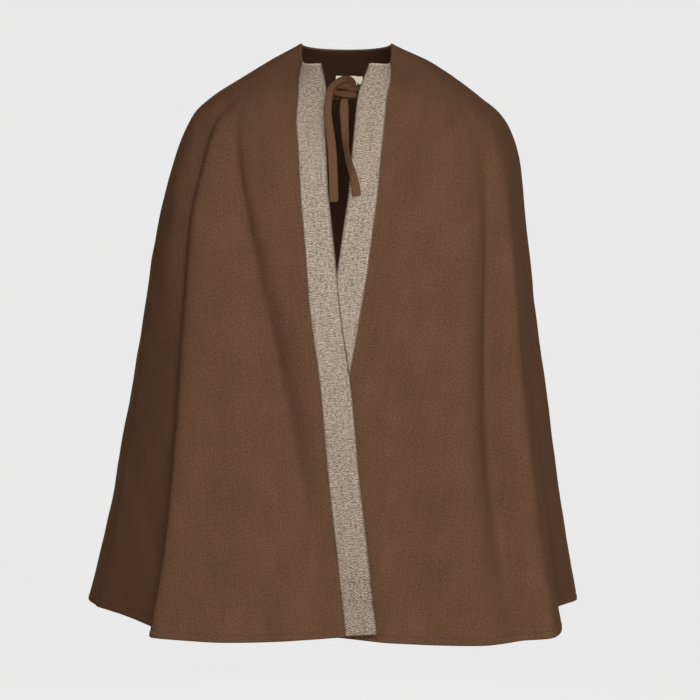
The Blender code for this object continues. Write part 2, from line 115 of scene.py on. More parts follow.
# Creases are soft troughs that fade out at both ends. The small ones are in the looks only.
CREASE_COLUMNS = ("depth", "start", "end", "angle_top", "angle_end", "before", "after")
CREASES = (
    (0.0222, 0.10, 1.00, -65, -2.5, 16, 13),
    (0.0100, 0.08, 0.45, -67, -40, 8, 9),
    (0.0120, 0.08, 0.60, -69, -62, 6, 9),
    (0.0420, 0.06, 1.30, 65.5, 46.5, 15.5, 6.5),
    (0.0070, 0.08, 0.45, -122, -136, 9, 9),
    (0.0075, 0.05, 0.40, 118, 140, 9, 9),
)
SMALL_CREASES = (
    (0.0030, 0.06, 0.28, 50, 46, 5, 6),
    (0.0018, 0.20, 1.20, -52, -43, 7, 8),
    (0.0030, 0.40, 0.72, 23, 8, 6, 6),
    (0.0016, 0.34, 0.46, -27, -29, 4, 4),
    (0.0028, 0.30, 0.72, -150, -158, 5, 6),
    (0.0024, 0.36, 0.80, 174, 170, 6, 5),
    (0.0030, 0.34, 0.78, 146, 150, 5, 6),
    (0.0026, 0.30, 0.70, 96, 93, 6, 5),
    (0.0026, 0.34, 0.76, -92, -90, 6, 6),
    (0.0018, 0.05, 0.22, 172, 150, 10, 9),
    (0.0018, 0.05, 0.20, -168, -146, 9, 10),
)

# How the cloth wanders off its even form: the height of each wave, its number of turns round
# the cape and down it, and where it starts. The sway makes the waves uneven.
WAVE_COLUMNS = ("height", "round", "down", "start")
WAVES = (
    (0.00060, 7, 2.1, 0.4),
    (0.00050, -9, 3.3, 2.1),
    (0.00034, 13, 4.7, 4.4),
    (0.00026, -17, 6.1, 1.2),
    (0.00016, 29, 8.3, 5.2),
    (0.00012, -37, 12.7, 3.1),
    (0.00008, 53, 17.9, 0.9),
)
WAVE_SWAY = 0.8
WAVE_SWAY_TURNS = 0.6
WAVES_FULL = 0.12

# The dents across the front edges: how deep, where down the cloth, how they lean and spread.
DENT_COLUMNS = ("side", "depth", "along", "lean", "spread")
DENTS = (
    (-1, 0.0055, 0.831, -0.05, 0.0086),
    (-1, 0.0055, 0.804, 0.08, 0.0086),
    (-1, 0.0010, 0.772, 0.05, 0.0060),
    (-1, 0.0010, 0.105, 0.20, 0.0070),
    (1, 0.0012, 0.038, 0.22, 0.0050),
    (1, 0.0008, 0.052, 0.10, 0.0050),
    (1, 0.0010, 0.300, -0.15, 0.0070),
)

# Over the cloth from a front's edge, a dent starts, is full, begins to fade and ends.
DENT_REACH = (-0.012, 0.002, 0.030, 0.052)

# The seams are sewn shut: a gap too small to see is left in them.
SEAM_GAP = 0.0001
SEAM_BULGE = 0.1
RIM_TURNS = np.radians((40, 80, 120, 155))

# The sewing: how far each line of stitches is from the cloth's edge, the length of a stitch
# with its gap, the thread, and the groove that it draws in.
NECK_STITCH = 0.0062
NECK_STITCH_CLEAR = 0.001
HEM_STITCH = 0.0086
BAND_STITCH = 0.0012
BAND_END_STITCH = 0.0030
STITCH_PITCH = 0.0030
STITCH_SHARE = 0.74
THREAD = 0.00042
BEAD_SIDES = 6
BEAD_PLACE = 0.0004
GROOVE = 0.00045
GROOVE_WIDTH = 0.0011
HEM_PUFF = 0.00035
NECK_PUFF = 0.00030
PUCKER = 0.00012
PUCKER_STEP = 0.0068
PUCKER_SWAY = 0.031
HEM_PUCKER_REACH = 0.006
NECK_PUCKER_REACH = 0.005
TURNED = 0.0011
TURNED_PAST = 0.0012
TURNED_EDGE = 0.0009
SEAM_ALLOWANCE = 0.010
SEAM_PRESSED = 0.7
SEAM_OPEN = 0.0025
SEAM_GROOVE = 0.0009
SEAM_GROOVE_WIDTH = 0.0024

# A stitch from end to end: places along it, and its thickness and height in shares of the thread.
BEAD_ALONG = np.array((-1, -0.8, -0.3, 0.3, 0.8, 1))
BEAD_THICK = np.array((0.35, 0.85, 1, 1, 0.85, 0.35))
BEAD_HIGH = np.array((-0.55, 0.15, 0.5, 0.5, 0.15, -0.55))

# The trim bands: the closer rows and columns at their ends and edges, and their relief.
BAND_ROW = 0.0022
BAND_RIM = 0.0028
BAND_TOP = 0.006
BAND_END = 0.008
BAND_SHORT = 0.0006
BAND_STAND = 0.0002
BAND_THREAD_PITCH = 0.0028
BAND_GROOVE = 0.00030
BAND_END_GROOVE = 0.00055
BAND_PUFF = 0.00028
BAND_PUCKER = 0.00011
BAND_SOFT = 0.00018

Patch = namedtuple("Patch", "top bottom first last rounding")
LABEL = Patch(top=0.0390, bottom=0.0528, first=-2.3, last=3.2, rounding=0)
SIZE_TAB = Patch(top=0.0402, bottom=0.0516, first=-3.85, last=-2.4, rounding=0.0048)
PATCH_STEP = (math.pi - SEAM_TURN) / 22
PATCH_COLUMNS = 22
PATCH_ROWS = 12
PATCH_CURL = 0.0004
PATCH_BULGE = 0.8
NECK_RADIUS = 0.075

TIE_COLUMNS = ("x", "y", "z", "width", "thick", "roll")
TIE_RIGHT = (
    (-0.0380, -0.0877, -0.0565, 0.0110, 0.0026, 0),
    (-0.0300, -0.0893, -0.0585, 0.0105, 0.0026, 0),
    (-0.0225, -0.0930, -0.0605, 0.0092, 0.0028, 0),
    (-0.0148, -0.0975, -0.0628, 0.0082, 0.0028, 0),
    (-0.0067, -0.0985, -0.0612, 0.0080, 0.0028, 0),
    (0.0015, -0.0960, -0.0570, 0.0078, 0.0028, 0),
    (0.0062, -0.0930, -0.0519, 0.0086, 0.0028, 0),
    (0.0060, -0.0945, -0.0464, 0.0108, 0.0032, 0),
    (0.0041, -0.1005, -0.0423, 0.0108, 0.0032, 0),
    (-0.0023, -0.1070, -0.0400, 0.0102, 0.0032, 0),
    (-0.0097, -0.1105, -0.0427, 0.0094, 0.0032, 0),
    (-0.0170, -0.1130, -0.0471, 0.0090, 0.0032, 0),
    (-0.0226, -0.1145, -0.0532, 0.0092, 0.0032, 0),
    (-0.0243, -0.1152, -0.0600, 0.0100, 0.0028, 0),
    (-0.0256, -0.1145, -0.0675, 0.0100, 0.0026, 0),
    (-0.0268, -0.1160, -0.0770, 0.0100, 0.0026, 0),
    (-0.0251, -0.1255, -0.1065, 0.0114, 0.0026, 0),
    (-0.0216, -0.1320, -0.1360, 0.0122, 0.0026, 0),
    (-0.0199, -0.1370, -0.1655, 0.0122, 0.0026, 0),
    (-0.0187, -0.1425, -0.2085, 0.0126, 0.0026, 0),
)
TIE_LEFT = (
    (0.0250, -0.0878, -0.0512, 0.0092, 0.0026, 0),
    (0.0178, -0.0873, -0.0508, 0.0088, 0.0026, 0),
    (0.0128, -0.0950, -0.0517, 0.0080, 0.0028, 0),
    (0.0080, -0.1022, -0.0528, 0.0086, 0.0030, 0),
    (0.0020, -0.1058, -0.0513, 0.0094, 0.0032, 0),
    (-0.0067, -0.1040, -0.0484, 0.0106, 0.0032, 0),
    (-0.0142, -0.1048, -0.0492, 0.0084, 0.0032, 0),
    (-0.0196, -0.1062, -0.0536, 0.0072, 0.0030, 0),
    (-0.0162, -0.1085, -0.0590, 0.0078, 0.0030, 0),
    (-0.0081, -0.1110, -0.0606, 0.0092, 0.0030, 0),
    (0.0013, -0.1124, -0.0616, 0.0092, 0.0030, 0),
    (0.0076, -0.1116, -0.0620, 0.0084, 0.0030, 0),
    (0.0104, -0.1090, -0.0622, 0.0076, 0.0028, 0),
    (0.0078, -0.1064, -0.0624, 0.0076, 0.0028, 0),
    (0.0020, -0.1052, -0.0632, 0.0080, 0.0026, 0),
    (-0.0030, -0.1054, -0.0658, 0.0086, 0.0026, 0),
    (-0.0050, -0.1065, -0.0730, 0.0112, 0.0026, 0),
    (-0.0049, -0.1120, -0.0935, 0.0116, 0.0026, 8),
    (-0.0035, -0.1190, -0.1203, 0.0116, 0.0026, 32),
    (-0.0022, -0.1245, -0.1360, 0.0116, 0.0026, 52),
    (0.0004, -0.1290, -0.1501, 0.0116, 0.0026, 50),
    (0.0047, -0.1330, -0.1652, 0.0116, 0.0026, 38),
    (0.0087, -0.1360, -0.1801, 0.0116, 0.0026, 18),
    (0.0120, -0.1392, -0.2000, 0.0118, 0.0026, 0),
)
TIE_STEP = 0.0009
TIE_DRIFT = 0.10
TIE_SIDES = 28
TIE_HALF = 0.006
TIE_END_STITCH = 0.0042
TIE_THREAD_PITCH = 0.0024
TIE_SEWN = 0.42
KNOT_RIGHT = (0.010, 0.085)
KNOT_LEFT = (0.010, 0.090)
# How far along a strap the painted shade in its knot reaches before it fades.
KNOT_PAINTED_SHADE_END = 0.098
CAP_SIZE = 0.02


def table(columns, rows):
    """A table's columns by name, as arrays."""
    return dict(zip(columns, np.array(rows, float).T))


def smooth_through(at, x, y):
    """A smooth curve through the points x, y that doesn't overshoot them, read at a place."""
    step = np.diff(x)
    slope = np.diff(y) / step
    turn = slope[1:] * slope[:-1]
    total = np.where(turn > 0, slope[1:] + slope[:-1], 1.0)
    inner = np.where(turn > 0, 2 * turn / total, 0.0)
    lean = np.concatenate([slope[:1], inner, slope[-1:]])
    i = np.clip(np.searchsorted(x, at) - 1, 0, len(step) - 1)
    t = (at - x[i]) / step[i]
    start = y[i] * (1 + 2 * t) * (1 - t) ** 2 + y[i + 1] * (3 - 2 * t) * t ** 2
    return start + step[i] * t * (1 - t) * (lean[i] * (1 - t) - lean[i + 1] * t)


def ease(t):
    """0 below 0, 1 above 1, and smooth between."""
    t = np.clip(t, 0, 1)
    return t * t * (3 - 2 * t)


def hump(t):
    """1 at the middle, and smoothly down to 0 at -1 and at 1."""
    return (1 + np.cos(math.pi * np.clip(t, -1, 1))) / 2


def arch(t, power):
    """1 at the middle, and down to 0 at -1 and at 1: wide, with ends that turn quickly."""
    return (1 - np.clip(t, -1, 1) ** 2) ** power


def cleft(t):
    """1 at the middle, and down to 0 at -1 and at 1: steep by the middle, and soft at the ends."""
    away = np.hypot(np.clip(t, -1, 1), CLEFT_ROUND) - CLEFT_ROUND
    return (1 - away / (math.hypot(1, CLEFT_ROUND) - CLEFT_ROUND)) ** 2


def bell(distance, width):
    """1 at no distance, and falling off over a width."""
    return np.exp(-(distance / width) ** 2)


def ring_at(along):
    """The ring table's values at a length of cloth from the neck edge."""
    rings = table(RING_COLUMNS, RINGS)
    return {name: smooth_through(along, rings["along"], rings[name]) for name in RING_COLUMNS}


def fold_profile(angle, fold, t, narrow, profile):
    """A fold's profile. Its half width is "before" towards the front, and "after" to the back."""
    middle = np.radians(fold["angle_top"] + (fold["angle_end"] - fold["angle_top"]) * t)
    away = (angle - middle + math.pi) % (2 * math.pi) - math.pi
    away = away * np.where(middle < 0, -1, 1)
    half = np.where(away < 0, math.radians(fold["before"]), math.radians(fold["after"]))
    return profile(away / (half * narrow))


def fold_depth(angle, share):
    """How far the folds move the cloth inwards. A flare's profile is softer at its start."""
    depth = np.zeros(np.broadcast(angle, share).shape)
    for row in FLARES:
        fold = dict(zip(FLARE_COLUMNS, row))
        t = np.clip((share - fold["start"]) / (1 - fold["start"]), 0, None)
        narrow = fold["top_width"] + (1 - fold["top_width"]) * np.clip(t, 0, 1)
        power = ARCH_POWER + ARCH_SOFTER * (1 - ease(t / ARCH_FULL))
        profile = functools.partial(arch, power=power)
        depth += fold["depth"] * t ** fold["power"] * fold_profile(angle, fold, t, narrow, profile)
    for row in CREASES + SMALL_CREASES:
        fold = dict(zip(CREASE_COLUMNS, row))
        t = (share - fold["start"]) / (fold["end"] - fold["start"])
        depth += fold["depth"] * hump(2 * t - 1) * fold_profile(angle, fold, t, 1, cleft)
    return depth


def waves(angle, share):
    """How far the cloth wanders out of its even form."""
    height = np.zeros(np.broadcast(angle, share).shape)
    for row in WAVES:
        wave = dict(zip(WAVE_COLUMNS, row))
        turns = wave["round"] * angle + 2 * math.pi * wave["down"] * share + wave["start"]
        height += wave["height"] * np.sin(turns + WAVE_SWAY * np.sin(WAVE_SWAY_TURNS * turns))
    return height * ease(share / WAVES_FULL)


def dent_depth(over, along, side):
    """How far the dents press a front's edge in, at a distance over the cloth from that edge."""
    depth = np.zeros(np.broadcast(over, along).shape)
    for row in DENTS:
        dent = dict(zip(DENT_COLUMNS, row))
        if dent["side"] == side:
            line = dent["along"] + dent["lean"] * (over - BAND_WIDTH / 2)
            depth += dent["depth"] * bell(along - line, dent["spread"])
    start, full, fade, end = DENT_REACH
    return depth * ease((over - start) / (full - start)) * (1 - ease((over - fade) / (end - fade)))


def cape_surface(angle, along, panel):
    """Points of the outer face. Angles run from the front centre towards the wearer's left."""
    near_edge = hump((angle - math.radians(panel.rise_angle)) / math.radians(panel.rise_reach))
    along = along - panel.rise * (np.clip(along, 0, None) / LENGTH) ** RISE_POWER * near_edge
    ring = ring_at(along)
    share = along / LENGTH
    sine = np.sin(angle)
    cosine = np.cos(angle)
    half = np.where(sine < 0, ring["half_right"], ring["half_left"])
    depth = np.where(cosine > 0, ring["front"], ring["back"])
    box = np.where(sine < 0, ring["box_right"], ring["box_left"])
    box = np.where(cosine > 0, box, NAPE_BOX + (box - NAPE_BOX) * ease(share / NAPE_REACH))
    radius = ((np.abs(sine) / half) ** box + (np.abs(cosine) / depth) ** box) ** (-1 / box)
    lapped = ease((share - LAP_START) / (LAP_FULL - LAP_START))
    aside = ease((np.abs(angle - LAP_MIDDLE) - LAP_HALF) / LAP_REACH)
    lapped = lapped + LAP_STAND * ease((share - LAP_STAND_START) / (1 - LAP_STAND_START))
    radius = radius - fold_depth(angle, share) + panel.lap * lapped * (1 - aside)
    radius = radius + waves(angle, share)
    if panel.side:
        edge_x = ring["edge_right"] if panel.side < 0 else ring["edge_left"]
        radius = radius - dent_depth(panel.side * (radius * sine - edge_x), along, panel.side)
    front_z = NECK_FRONT_Z + (panel.hem_z - NECK_FRONT_Z) * share
    back_z = NECK_BACK_Z + (HEM_BACK_Z - NECK_BACK_Z) * share
    low = np.where(cosine > 0, front_z, back_z)
    power = np.where(cosine > 0, ring["lift"], BACK_LIFT)
    height = low + (ring["side_z"] - low) * np.abs(sine) ** power
    return np.stack([radius * sine, -radius * cosine, height], axis=-1)


def unit(vectors):
    """The vectors at length 1."""
    return vectors / np.linalg.norm(vectors, axis=-1, keepdims=True)


def cape_normal(angle, along, panel):
    """The outward normals of the outer face."""
    turn = 0.002
    drop = 0.0008
    left = cape_surface(angle + turn, along, panel)
    right = cape_surface(angle - turn, along, panel)
    lower = cape_surface(angle, along + drop, panel)
    upper = cape_surface(angle, along - drop, panel)
    return unit(np.cross(lower - upper, left - right))


def steps_between(start, end, widest):
    """Even steps from start to end, none wider than a width."""
    return np.linspace(start, end, max(int(math.ceil((end - start) / widest)), 1) + 1)


# Distances from the neck edge, the hem and the seams, where rows and columns lie close together.
NEAR_EDGE = np.array([0, 0.5, 1.1, 1.8, 2.6, 3.5, 4.4, 5.2, 5.7, 6.2, 6.7, 7.2, 7.6,
                      8.1, 8.6, 9.1, 9.6, 10.1, 10.8, 11.8, 13.2, 15.5]) / 1000
NEAR_SEAM = np.array([0, 0.5, 1.0, 1.6, 2.3, 3.2, 4.4, 6.0, 8.0, 9.4, 10.0, 10.6, 12.0]) / 1000
FRONT_ROW = 0.0048
FRONT_COLUMNS = 86
BACK_ROW = 0.0052
BACK_COLUMNS = 176
UNDER_BAND_COLUMNS = 14
NARROW_FRONT = 0.2
NARROW_BACK = 0.4
WALK_STEPS = 700


def row_places(widest):
    """The lengths of cloth at the rows of points: close together near the neck and the hem."""
    middle = steps_between(NEAR_EDGE[-1], LENGTH - NEAR_EDGE[-1], widest)
    return np.concatenate([NEAR_EDGE, middle[1:-1], (LENGTH - NEAR_EDGE)[::-1]])


def seam_angle(along, side, behind):
    """The angle of a side seam's edge, half a gap before the seam's line or behind it."""
    ring = ring_at(along)
    half = ring["half_right"] if side < 0 else ring["half_left"]
    return side * (SEAM_TURN + behind * SEAM_GAP / 2 / half)


def wrapped(angle):
    """The angle between minus and plus half a turn."""
    return np.where(angle > math.pi, angle - 2 * math.pi, angle)


def walk(start, end, along, panel):
    """A row's fine angles from start to end, and the distance walked over the cloth to each."""
    fine = np.linspace(start, end, WALK_STEPS)
    points = cape_surface(fine, np.full(fine.shape, along), panel)
    steps = np.linalg.norm(np.diff(points, axis=0), axis=1)
    return fine, np.concatenate([[0], np.cumsum(steps)])


def edge_angle(along, panel):
    """The angle of a front's edge."""
    ring = ring_at(along)
    edge_x = ring["edge_right"] if panel.side < 0 else ring["edge_left"]
    return math.atan2(edge_x, ring["front"])


Grid = namedtuple("Grid", "angle along across width points normals panel")


def row_ends(along, panel):
    """A row's angles at its ends: a front's edge and seam, or the back's left and right seams."""
    if panel.side:
        return edge_angle(along, panel), seam_angle(along, panel.side, -1)
    return seam_angle(along, 1, 1), 2 * math.pi + seam_angle(along, -1, 1)


def make_grid(panel, rows, place_columns):
    """A grid of points on a panel. place_columns gives a row's distances from its first end."""
    angles = []
    distances = []
    widths = []
    for along in rows:
        fine, walked = walk(*row_ends(along, panel), along, panel)
        columns = place_columns(walked[-1])
        angles.append(np.interp(columns, walked, fine))
        distances.append(columns)
        widths.append(walked[-1])
    angle = np.array(angles)
    place = np.repeat(np.array(rows)[:, None], angle.shape[1], axis=1)
    turned = wrapped(angle)
    return Grid(angle, place, np.array(distances), np.array(widths)[:, None],
                cape_surface(turned, place, panel), cape_normal(turned, place, panel), panel)


def front_columns(width):
    """A front's column places, for a row's width."""
    near = NEAR_SEAM * min(1, width / NARROW_FRONT)
    under = np.linspace(0, BAND_WIDTH, UNDER_BAND_COLUMNS)
    rest = np.linspace(BAND_WIDTH, width - near[-1], FRONT_COLUMNS + 1)[1:]
    return np.concatenate([under, rest, (width - near)[::-1][1:]])


def back_columns(width):
    """The back's column places, for a row's width."""
    near = NEAR_SEAM * min(1, width / NARROW_BACK)
    rest = np.linspace(near[-1], width - near[-1], BACK_COLUMNS + 1)
    return np.concatenate([near[:-1], rest, (width - near)[::-1][1:]])


def panel_faces(grid):
    """A panel's outer and inner faces, with its seams, turned edges and grooves."""
    hem = LENGTH - grid.along
    neck = grid.along
    from_end = grid.width - grid.across
    seam = from_end if grid.panel.side else np.minimum(grid.across, from_end)
    past_hem = hem - HEM_STITCH
    past_neck = neck - NECK_STITCH
    sewn = GROOVE * (bell(past_hem, GROOVE_WIDTH) + bell(past_neck, GROOVE_WIDTH))
    puff = HEM_PUFF * hump(2 * hem / HEM_STITCH - 1) + NECK_PUFF * hump(2 * neck / NECK_STITCH - 1)
    pucker = PUCKER * np.sin(grid.across / PUCKER_STEP + 2 * np.sin(grid.across / PUCKER_SWAY))
    near_sewing = bell(past_hem, HEM_PUCKER_REACH) + bell(past_neck, NECK_PUCKER_REACH)
    out = puff - sewn - SEAM_GROOVE * bell(seam, SEAM_GROOVE_WIDTH) + pucker * near_sewing
    turned = 1 - ease((past_hem - TURNED_PAST) / TURNED_EDGE)
    turned = turned + 1 - ease((past_neck - TURNED_PAST) / TURNED_EDGE)
    seam_press_and_knot_shade = SEAM_PRESSED * (1 - ease((seam - SEAM_ALLOWANCE) / TURNED_EDGE)) * ease(seam / SEAM_OPEN)
    thick = WALL + TURNED * np.clip(turned + seam_press_and_knot_shade, 0, 1)
    outer = grid.points + grid.normals * out[..., None]
    inner = grid.points - grid.normals * thick[..., None]
    return outer, inner


def border(rows, columns):
    """The places of a grid's outermost points, in order round it."""
    half = [(0, j) for j in range(columns - 1)] + [(i, columns - 1) for i in range(rows - 1)]
    return np.array(half + [(rows - 1 - i, columns - 1 - j) for i, j in half])


def border_out(points):
    """The directions that lead off a grid over its border, in the cloth."""
    out = np.zeros(points.shape)
    out[0] += unit(points[0] - points[1])
    out[-1] += unit(points[-1] - points[-2])
    out[:, 0] += unit(points[:, 0] - points[:, 1])
    out[:, -1] += unit(points[:, -1] - points[:, -2])
    return out


def add_object(name, data):
    """An object in the scene."""
    made = bpy.data.objects.new(name, data)
    bpy.context.scene.collection.objects.link(made)
    return made


def make_mesh(name, points, faces, places, finish):
    """An object from arrays of points and of four-sided faces, with places on the cloth."""
    mesh = bpy.data.meshes.new(name)
    mesh.vertices.add(len(points))
    mesh.vertices.foreach_set("co", np.asarray(points, np.float32).ravel())
    faces = np.asarray(faces, np.int32)
    mesh.loops.add(faces.size)
    mesh.loops.foreach_set("vertex_index", faces.ravel())
    mesh.polygons.add(len(faces))
    mesh.polygons.foreach_set("loop_start", np.arange(0, faces.size, faces.shape[1], dtype=np.int32))
    mesh.update(calc_edges=True)
    mesh.validate()
    layer = mesh.uv_layers.new(name="cloth")
    layer.uv.foreach_set("vector", np.asarray(places, np.float32)[faces.ravel()].ravel())
    mesh.shade_smooth()
    mesh.materials.append(finish)
    return add_object(name, mesh)


def grid_quads(rows, columns, first=0):
    """The faces of a grid of points."""
    i, j = np.meshgrid(np.arange(rows - 1), np.arange(columns - 1), indexing="ij")
    a = first + i * columns + j
    return np.stack([a, a + columns, a + columns + 1, a + 1], axis=-1).reshape(-1, 4)


def tube_quads(rings, sides):
    """The faces between closed rings of points, one ring after another."""
    i, k = np.meshgrid(np.arange(rings - 1), np.arange(sides), indexing="ij")
    a = i * sides + k
    b = i * sides + (k + 1) % sides
    return np.stack([a, b, b + sides, a + sides], axis=-1).reshape(-1, 4)


def shell(name, outer, inner, places, bulge, finish, reverse_painted_shade=None):
    """A closed sheet of cloth between two faces, rounded at its edges.

    bulge is how far the edge stands out, in shares of half the thickness, at each point.
    The last argument is the inner face's material where it has one of its own: the wool darkened with
    painted shade.
    """
    rows, columns = outer.shape[:2]
    count = rows * columns
    ring = border(rows, columns)
    i, j = ring.T
    away = border_out(outer)[i, j]
    middle = (outer[i, j] + inner[i, j]) / 2
    half = (outer[i, j] - inner[i, j]) / 2
    reach = np.linalg.norm(half, axis=1) * bulge[i, j]
    away = away * reach[:, None]
    rims = [middle + math.cos(t) * half + math.sin(t) * away for t in RIM_TURNS]
    points = np.concatenate([outer.reshape(-1, 3), inner.reshape(-1, 3)] + rims)
    edge = i * columns + j
    loops = [edge] + [2 * count + k * len(ring) + np.arange(len(ring)) for k in range(len(rims))]
    loops.append(count + edge)
    strips = [np.stack([a, b, np.roll(b, -1), np.roll(a, -1)], axis=1)
              for a, b in zip(loops, loops[1:])]
    sheets = [grid_quads(rows, columns)[:, ::-1], grid_quads(rows, columns, count)]
    faces = np.concatenate(sheets + strips)
    flat = places.reshape(-1, 2)
    all_places = np.concatenate([flat, flat] + [places[i, j]] * len(rims))
    made = make_mesh(name, points, faces[:, ::-1], all_places, finish)
    if reverse_painted_shade:
        made.data.materials.append(reverse_painted_shade)
        side = np.zeros(len(faces), np.int32)
        quads = (rows - 1) * (columns - 1)
        side[quads:2 * quads] = 1
        made.data.polygons.foreach_set("material_index", side)
    return made


def add_panel(name, grid, finish, reverse_painted_shade):
    """A panel of wool: its seams are flat, and its free edges are round."""
    outer, inner = panel_faces(grid)
    bulge = np.ones(grid.angle.shape)
    bulge[1:-1, -1] = SEAM_BULGE
    if not grid.panel.side:
        bulge[1:-1, 0] = SEAM_BULGE
    middle = 0 if grid.panel.side else grid.width / 2
    places = np.stack([grid.across - middle, grid.along], axis=-1)
    return shell(name, outer, inner, places, bulge, finish, reverse_painted_shade)


def band_grid(panel):
    """The points of the cloth under a trim band."""
    rows = np.concatenate([np.linspace(0, BAND_TOP, 9)[:-1],
                           steps_between(BAND_TOP, LENGTH - BAND_END, BAND_ROW)[:-1],
                           np.linspace(LENGTH - BAND_END, LENGTH - BAND_SHORT, 12)])
    columns = np.concatenate([np.linspace(0, BAND_RIM, 8)[:-1],
                              np.linspace(BAND_RIM, BAND_WIDTH - BAND_RIM, 26)[:-1],
                              np.linspace(BAND_WIDTH - BAND_RIM, BAND_WIDTH, 8)])
    return make_grid(panel, rows, lambda width: columns)


def band_faces(grid):
    """A band's upper and lower faces: puffed between its stitches, and puckered along them."""
    edge = np.minimum(grid.across, BAND_WIDTH - grid.across)
    end = LENGTH - grid.along
    start = grid.along
    near = np.minimum(edge - BAND_STITCH, end - BAND_END_STITCH)
    sewn = np.where(end < BAND_END_STITCH, bell(end - BAND_END_STITCH, 0.0007), bell(near, 0.0006))
    sewn = sewn * np.where(end < 0.006, BAND_END_GROOVE, BAND_GROOVE)
    puff = BAND_PUFF * ease(edge / 0.005) * ease(end / 0.006) * ease(start / 0.005)
    pucker = BAND_PUCKER * np.sin(start / 0.0023 + 3 * np.sin(start / 0.047)) * bell(edge, 0.004)
    soft = BAND_SOFT * np.sin(start / 0.013 + 1.7 * np.sin(grid.across / 0.009)) * ease(edge / 0.004)
    lift = puff - sewn + pucker + soft
    lower = grid.points + (GAP + BAND_STAND) * grid.normals
    wall = BAND_WALL + np.clip(lift, -0.7 * BAND_WALL, None)
    return lower + wall[..., None] * grid.normals, lower


def add_band(name, grid, finish):
    """The trim on a front edge, lying on the front's outer face."""
    upper, lower = band_faces(grid)
    places = np.stack([grid.across, grid.along], axis=-1)
    return shell(name, upper, lower, places, np.ones(grid.angle.shape), finish)


def add_patch(name, patch, finish):
    """A patch inside the back of the neck, lying on the back panel."""
    steps = np.linspace(patch.first, patch.last, PATCH_COLUMNS)
    aside = np.linspace(-1, 1, PATCH_COLUMNS)
    bottom = patch.bottom - patch.rounding * (1 - np.sqrt(1 - 0.98 * aside ** 2))
    down = np.linspace(0, 1, PATCH_ROWS)[:, None]
    along = patch.top + (bottom - patch.top) * down
    angle = wrapped(math.pi + np.repeat(steps[None], PATCH_ROWS, axis=0) * PATCH_STEP)
    points = cape_surface(angle, along, BACK)
    normals = cape_normal(angle, along, BACK)
    lies = points - (WALL + GAP) * normals
    curl = PATCH_CURL * ease((down - 0.6) / 0.4) * (1 + np.sin(3 * aside))
    up = lies - (LABEL_WALL + curl[..., None]) * normals
    width = (patch.last - patch.first) * PATCH_STEP * NECK_RADIUS
    places = np.stack([np.repeat(aside[None], PATCH_ROWS, axis=0) * width / 2, along], axis=-1)
    return shell(name, lies, up, places, np.full(angle.shape, PATCH_BULGE), finish)


def natural_curve(at, x, y):
    """The natural cubic spline through the points x, y, read at some places."""
    step = np.diff(x)
    count = len(x)
    system = np.eye(count)
    wanted = np.zeros(count)
    for i in range(1, count - 1):
        system[i, i - 1:i + 2] = (step[i - 1], 2 * (step[i - 1] + step[i]), step[i])
        wanted[i] = 6 * ((y[i + 1] - y[i]) / step[i] - (y[i] - y[i - 1]) / step[i - 1])
    bend = np.linalg.solve(system, wanted)
    i = np.clip(np.searchsorted(x, at) - 1, 0, count - 2)
    a = (x[i + 1] - at) / step[i]
    b = (at - x[i]) / step[i]
    cubic = ((a ** 3 - a) * bend[i] + (b ** 3 - b) * bend[i + 1]) * step[i] ** 2 / 6
    return a * y[i] + b * y[i + 1] + cubic


def strap_frames(line, roll):
    """The strap's width and thickness directions along its line."""
    tangents = unit(np.gradient(line, axis=0))
    width = np.array([0.0, 0.0, 1.0])
    frames = []
    for tangent, angle in zip(tangents, np.radians(roll)):
        facing = np.cross((0.0, 1.0, 0.0), tangent)
        drift = TIE_DRIFT if facing @ width > 0 else -TIE_DRIFT
        width = width - tangent * (width @ tangent) + drift * facing
        width = width / np.linalg.norm(width)
        thick = np.cross(tangent, width)
        frames.append((width * math.cos(angle) + thick * math.sin(angle),
                       thick * math.cos(angle) - width * math.sin(angle)))
    return np.array(frames)


Route = namedtuple("Route", "places line width thick frames")


def route(rows):
    """A strap's middle line, its sizes and its directions, at even steps along it."""
    columns = table(TIE_COLUMNS, rows)
    line = np.stack([columns[name] for name in "xyz"], axis=1)
    marks = np.concatenate([[0], np.cumsum(np.linalg.norm(np.diff(line, axis=0), axis=1))])
    places = np.linspace(0, marks[-1], int(round(marks[-1] / TIE_STEP)) + 1)
    values = {name: natural_curve(places, marks, columns[name]) for name in TIE_COLUMNS}
    line = np.stack([values[name] for name in "xyz"], axis=1)
    return Route(places, line, values["width"], values["thick"], strap_frames(line, values["roll"]))


def strap_section(turns, width, thick, place, bunched):
    """A strap's outline at one place: flat and boxy with a slack middle, or bunched in the knot.

    Two creases wander along the bunched stretch.
    """
    side = np.sign(np.cos(turns)) * np.abs(np.cos(turns)) ** (0.62 + 0.30 * bunched)
    face = np.sign(np.sin(turns)) * np.abs(np.sin(turns)) ** (0.72 + 0.20 * bunched)
    slack = 1 - 0.16 * bell(side, 0.42) * (1 - bunched)
    fold = side - 0.35 * math.sin(place / 0.011 + 1.0)
    crease = 0.00075 * bunched * bell(fold, 0.20) + 0.00035 * bunched * bell(fold + 0.62, 0.14)
    full = thick / 2 * (1 + 0.30 * bunched)
    return side * width / 2, face * full * slack - np.sign(face) * crease * (1 - side ** 4)


def shrunk(ring):
    """A ring drawn in nearly to its middle, which closes a strap's end."""
    middle = ring.mean(axis=0)
    return middle + CAP_SIZE * (ring - middle)


